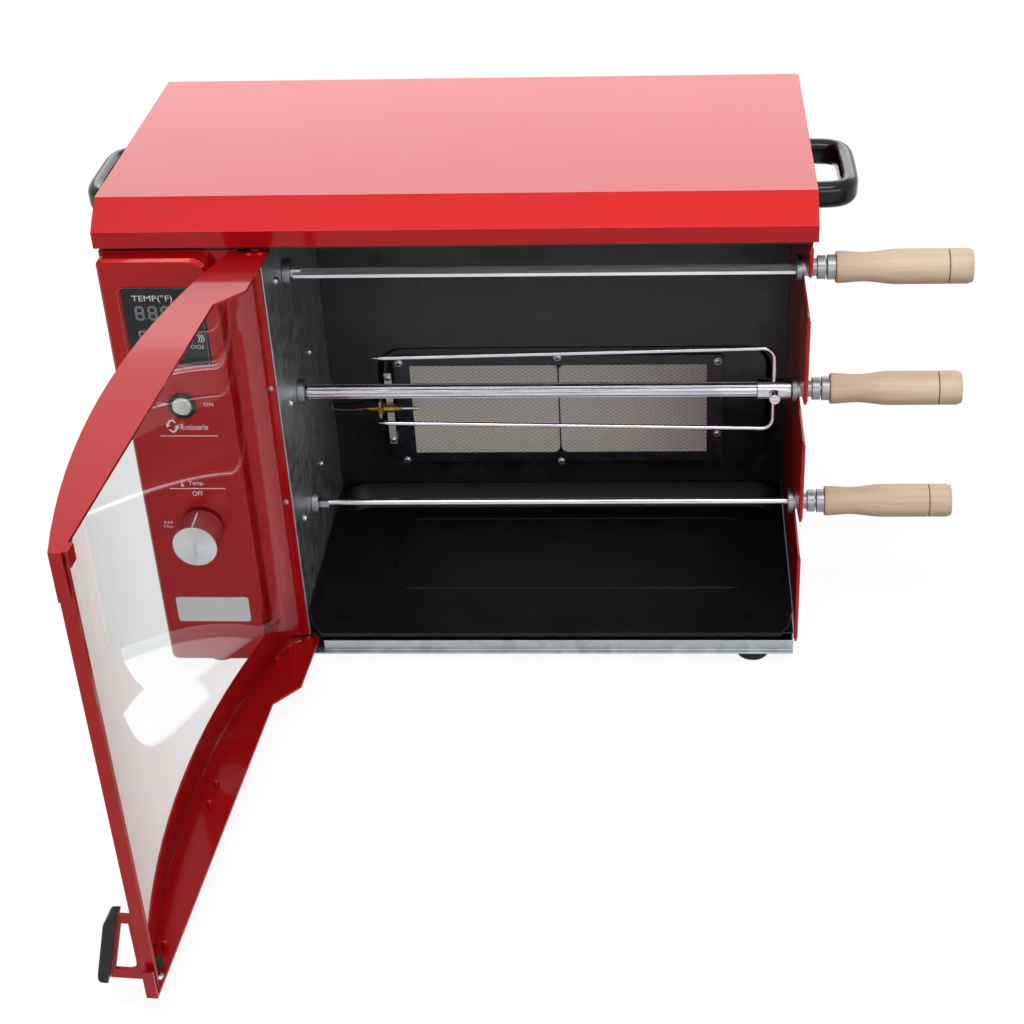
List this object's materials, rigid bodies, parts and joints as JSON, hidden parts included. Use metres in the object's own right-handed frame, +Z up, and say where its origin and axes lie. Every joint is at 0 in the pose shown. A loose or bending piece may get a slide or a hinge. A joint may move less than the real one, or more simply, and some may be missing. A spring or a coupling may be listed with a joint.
{
  "type": "rotisserie grill",
  "caption": "Counter-top gas rotisserie grill: geared skewers turn before a ceramic burner, with a bow-front glass door, slide-out drip tray and side controls.",
  "frame": {"origin": "middle of the whole grill's footprint on the table, with the door open as it is stored", "axes": "+X to the right as seen from the front, +Y towards the back, +Z up"},
  "size_m": [0.815, 0.7834, 0.485],
  "materials": {
    "red_paint": "glossy red powder coat on steel sheet",
    "galvanised_sheet": "satin galvanised steel sheet",
    "black_enamel": "glossy black vitreous enamel on steel sheet",
    "black_plastic": "glossy black moulded plastic",
    "foot_rubber": "matte black rubber",
    "steel": "bright drawn stainless steel",
    "aluminium": "turned aluminium",
    "brass": "plain turned brass",
    "beech": "smooth pale beech",
    "door_glass": "clear curved toughened glass",
    "burner_ceramic": "rough perforated ceramic",
    "gear_nylon": "satin natural nylon",
    "cream_plastic": "glossy cream plastic"
  },
  "bodies": {
    "housing": {"hood": "red_paint", "control_casing": "red_paint", "control_panel": "red_paint", "display_module": "black_plastic", "rocker_bezel": "black_plastic", "gas_valve": "brass", "cavity_left_wall": "galvanised_sheet", "right_wall": "red_paint", "back_wall": "black_enamel", "burner_body": "black_enamel", "burner_tile_left": "burner_ceramic", "burner_tile_right": "burner_ceramic", "flame_sensor": "brass", "sensor_strip": "steel", "cavity_roof": "galvanised_sheet", "cavity_floor": "black_enamel", "base_pan": "galvanised_sheet", "rear_cover": "red_paint", "foot_front_left": "foot_rubber", "foot_rear_left": "foot_rubber", "foot_front_right": "foot_rubber", "foot_rear_right": "foot_rubber", "carry_handle_right": "black_plastic", "carry_handle_left": "black_plastic", "gear_motor": "steel", "hinge_pin_top": "steel", "hinge_pin_bottom": "steel", "gas_inlet_pipe": "brass", "burner_pipe": "brass"},
    "door": {"door_top_rail": "red_paint", "door_bottom_rail": "red_paint", "door_glass": "door_glass", "door_stile": "red_paint", "door_handle_bracket": "red_paint", "door_grip": "black_plastic"},
    "tray": {"drip_tray": "black_enamel"},
    "motor_shaft": {"motor_pinion": "steel"},
    "drive_low": {"drive_gear_low": "gear_nylon", "drive_socket_low": "aluminium"},
    "bush_low": {"skewer_bush_low": "aluminium"},
    "skewer_low": {"skewer_rod_low": "steel", "skewer_ferrule_low": "aluminium", "skewer_handle_low": "beech"},
    "drive_middle": {"drive_gear_middle": "gear_nylon", "drive_socket_middle": "aluminium"},
    "bush_middle": {"skewer_bush_middle": "aluminium"},
    "skewer_middle": {"skewer_rod_middle": "steel", "skewer_ferrule_middle": "aluminium", "skewer_handle_middle": "beech"},
    "drive_top": {"drive_gear_top": "gear_nylon", "drive_socket_top": "aluminium"},
    "bush_top": {"skewer_bush_top": "aluminium"},
    "skewer_top": {"skewer_rod_top": "steel", "skewer_ferrule_top": "aluminium", "skewer_handle_top": "beech"},
    "fork": {"skewer_fork": "steel", "fork_screw": "steel"},
    "spindle": {"valve_spindle": "brass"},
    "knob": {"knob": "aluminium"},
    "rocker": {"rocker_button": "cream_plastic"}
  },
  "joints": [
    {"name": "motor_spin", "type": "hinge", "parent": "housing", "child": "motor_shaft", "pos_m": [-0.22975, 0.23804, 0.26], "axis": [1, 0, 0], "continuous": true},
    {"name": "drive_low_spin", "type": "hinge", "parent": "housing", "child": "drive_low", "pos_m": [-0.22975, 0.15054, 0.135], "axis": [1, 0, 0], "continuous": true},
    {"name": "skewer_low_swing", "type": "hinge", "parent": "housing", "child": "bush_low", "pos_m": [-0.21175, 0.15054, 0.135], "axis": [0, 0, -1], "range_deg": [0, 12]},
    {"name": "skewer_low_spin", "type": "hinge", "parent": "bush_low", "child": "skewer_low", "pos_m": [0.02225, 0.15054, 0.135], "axis": [1, 0, 0], "continuous": true},
    {"name": "drive_middle_spin", "type": "hinge", "parent": "housing", "child": "drive_middle", "pos_m": [-0.22975, 0.15054, 0.26], "axis": [1, 0, 0], "continuous": true},
    {"name": "skewer_middle_swing", "type": "hinge", "parent": "housing", "child": "bush_middle", "pos_m": [-0.21175, 0.15054, 0.26], "axis": [0, 0, -1], "range_deg": [0, 12]},
    {"name": "skewer_middle_spin", "type": "hinge", "parent": "bush_middle", "child": "skewer_middle", "pos_m": [0.02225, 0.15054, 0.26], "axis": [1, 0, 0], "continuous": true},
    {"name": "drive_top_spin", "type": "hinge", "parent": "housing", "child": "drive_top", "pos_m": [-0.22975, 0.15054, 0.385], "axis": [1, 0, 0], "continuous": true},
    {"name": "skewer_top_swing", "type": "hinge", "parent": "housing", "child": "bush_top", "pos_m": [-0.21175, 0.15054, 0.385], "axis": [0, 0, -1], "range_deg": [0, 12]},
    {"name": "skewer_top_spin", "type": "hinge", "parent": "bush_top", "child": "skewer_top", "pos_m": [0.02225, 0.15054, 0.385], "axis": [1, 0, 0], "continuous": true},
    {"name": "fork_slide", "type": "slide", "parent": "skewer_middle", "child": "fork", "axis": [1, 0, 0], "range_m": [-0.06, 0]},
    {"name": "door_swing", "type": "hinge", "parent": "housing", "child": "door", "pos_m": [-0.21875, 0.06954, 0.236], "axis": [0, 0, -1], "range_deg": [-94, 0]},
    {"name": "tray_slide", "type": "slide", "parent": "housing", "child": "tray", "axis": [0, -1, 0], "range_m": [0, 0.112]},
    {"name": "knob_push", "type": "slide", "parent": "housing", "child": "spindle", "axis": [0, 1, 0], "range_m": [0, 0.003], "stiffness_N_per_m": 1000},
    {"name": "knob_turn", "type": "hinge", "parent": "spindle", "child": "knob", "pos_m": [-0.30156, 0.03454, 0.1725], "axis": [0, -1, 0], "range_deg": [0, 210]},
    {"name": "rocker_tilt", "type": "hinge", "parent": "housing", "child": "rocker", "pos_m": [-0.30156, 0.05254, 0.30148], "axis": [0, 0, 1], "range_deg": [0, 20]}
  ],
  "couplings": [
    {"joint": "drive_low_spin", "follows": "motor_spin", "ratio": 0.4},
    {"joint": "skewer_low_spin", "follows": "motor_spin", "ratio": 0.4},
    {"joint": "drive_middle_spin", "follows": "motor_spin", "ratio": -0.4},
    {"joint": "skewer_middle_spin", "follows": "motor_spin", "ratio": -0.4},
    {"joint": "drive_top_spin", "follows": "motor_spin", "ratio": 0.4},
    {"joint": "skewer_top_spin", "follows": "motor_spin", "ratio": 0.4}
  ]
}
